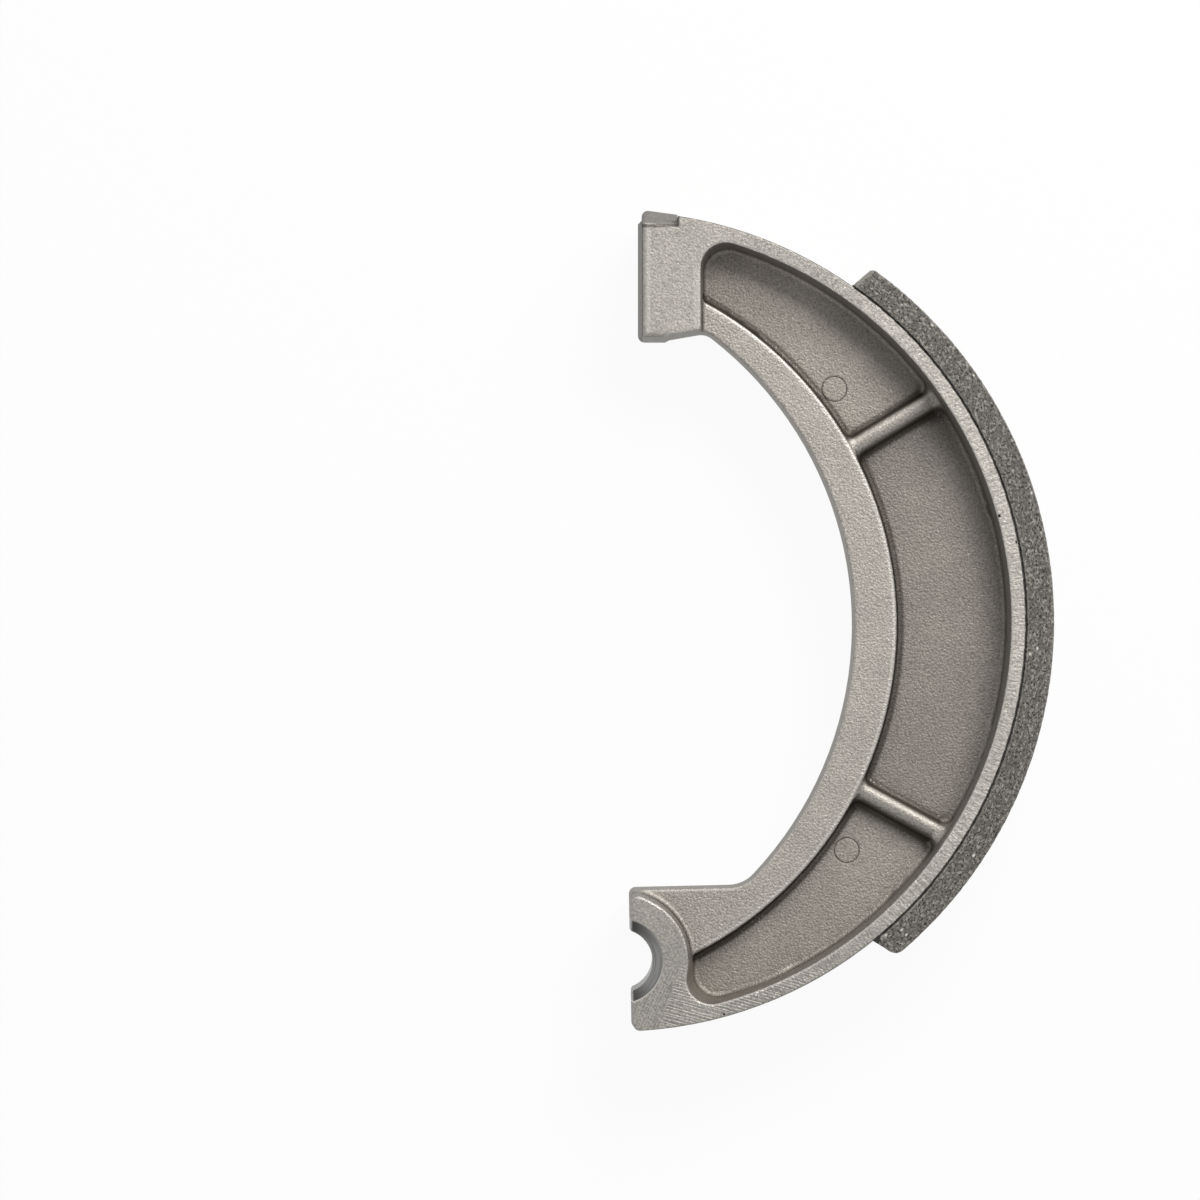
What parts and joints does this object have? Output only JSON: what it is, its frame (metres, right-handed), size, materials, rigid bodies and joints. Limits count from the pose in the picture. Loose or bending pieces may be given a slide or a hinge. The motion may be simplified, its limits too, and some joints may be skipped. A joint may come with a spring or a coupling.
{
  "type": "drum brake shoe",
  "caption": "Cast drum brake shoe with a bonded friction lining, a half-round pivot seat at one end and a cam block at the other.",
  "frame": {"origin": "centre of the half-round pivot seat, halfway through the shoe's width", "axes": "+Z along the pivot pin, square to the shoe's side; +Y from the pivot up to the cam block; +X out towards the lining"},
  "size_m": [0.0736, 0.1423, 0.025],
  "materials": {
    "cast_aluminium": "satin",
    "friction_compound": "matte",
    "adhesive": "matte"
  },
  "bodies": {
    "root": {"shoe_casting": "cast_aluminium", "friction_lining": "friction_compound", "adhesive_film": "adhesive"}
  },
  "joints": []
}
